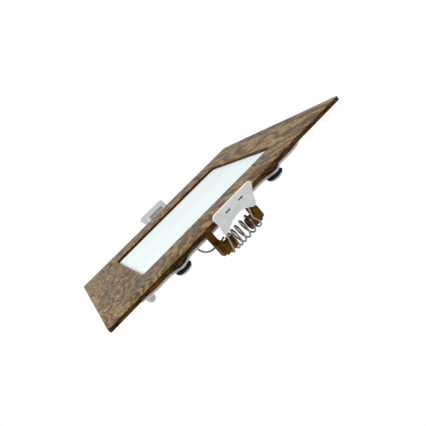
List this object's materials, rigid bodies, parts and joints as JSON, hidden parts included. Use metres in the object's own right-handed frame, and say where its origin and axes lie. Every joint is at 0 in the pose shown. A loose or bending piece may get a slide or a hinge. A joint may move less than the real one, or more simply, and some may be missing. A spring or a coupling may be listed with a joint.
{
  "type": "square recessed light",
  "caption": "Slim square recessed light: wood-finish bezel, pale diffuser, shallow housing with a rear cover, and sprung paddle clips on opposite sides.",
  "frame": {"origin": "centre of the bezel's seat plane, which bears on the ceiling", "axes": "+Z out of the light's face, X along the clips' hinge axes, the near clip on the -Y side"},
  "size_m": [0.15, 0.1744, 0.0249],
  "materials": {
    "wood_film": "printed wood-grain film, satin",
    "brown_plastic": "moulded brown plastic, satin",
    "opal_acrylic": "opal diffusing acrylic",
    "clear_acrylic": "clear acrylic light guide",
    "white_film": "matt white film",
    "led_board": "white solder mask",
    "led_package": "phosphor in a moulded package",
    "grey_plastic": "moulded light grey plastic, satin",
    "black_rubber": "matt black rubber",
    "zinc_steel": "zinc plated steel",
    "brass": "turned brass",
    "spring_steel": "oiled dark spring wire",
    "nylon": "natural nylon, slightly translucent"
  },
  "bodies": {
    "fixture": {"face_sheet": "wood_film", "bezel_plate": "brown_plastic", "housing_ring": "brown_plastic", "diffuser": "opal_acrylic", "light_guide": "clear_acrylic", "reflector_sheet": "white_film", "led_strip_left": "led_board", "led_strip_right": "led_board", "cover_gasket": "black_rubber", "rear_cover": "grey_plastic", "lead_gland": "grey_plastic", "led_left_1": "led_package", "led_left_2": "led_package", "led_left_3": "led_package", "led_left_4": "led_package", "led_left_5": "led_package", "led_left_6": "led_package", "led_right_1": "led_package", "led_right_2": "led_package", "led_right_3": "led_package", "led_right_4": "led_package", "led_right_5": "led_package", "led_right_6": "led_package", "screw_washer_1": "black_rubber", "cover_screw_1": "zinc_steel", "threaded_insert_1": "brass", "screw_washer_2": "black_rubber", "cover_screw_2": "zinc_steel", "threaded_insert_2": "brass", "screw_washer_3": "black_rubber", "cover_screw_3": "zinc_steel", "threaded_insert_3": "brass", "screw_washer_4": "black_rubber", "cover_screw_4": "zinc_steel", "threaded_insert_4": "brass", "spring_tail_near": "spring_steel", "spring_tail_far": "spring_steel"},
    "clip_near": {"clip_spring_near": "spring_steel", "clip_paddle_near": "nylon"},
    "clip_far": {"clip_spring_far": "spring_steel", "clip_paddle_far": "nylon"}
  },
  "joints": [
    {"name": "clip_near_swing", "type": "hinge", "parent": "fixture", "child": "clip_near", "pos_m": [-0.0012, -0.0655, -0.0132], "axis": [1, 0, 0], "range_deg": [-12, 143], "stiffness_Nm_per_rad": 0.036},
    {"name": "clip_far_swing", "type": "hinge", "parent": "fixture", "child": "clip_far", "pos_m": [0.0012, 0.0655, -0.0132], "axis": [-1, 0, 0], "range_deg": [-12, 143], "stiffness_Nm_per_rad": 0.036}
  ]
}
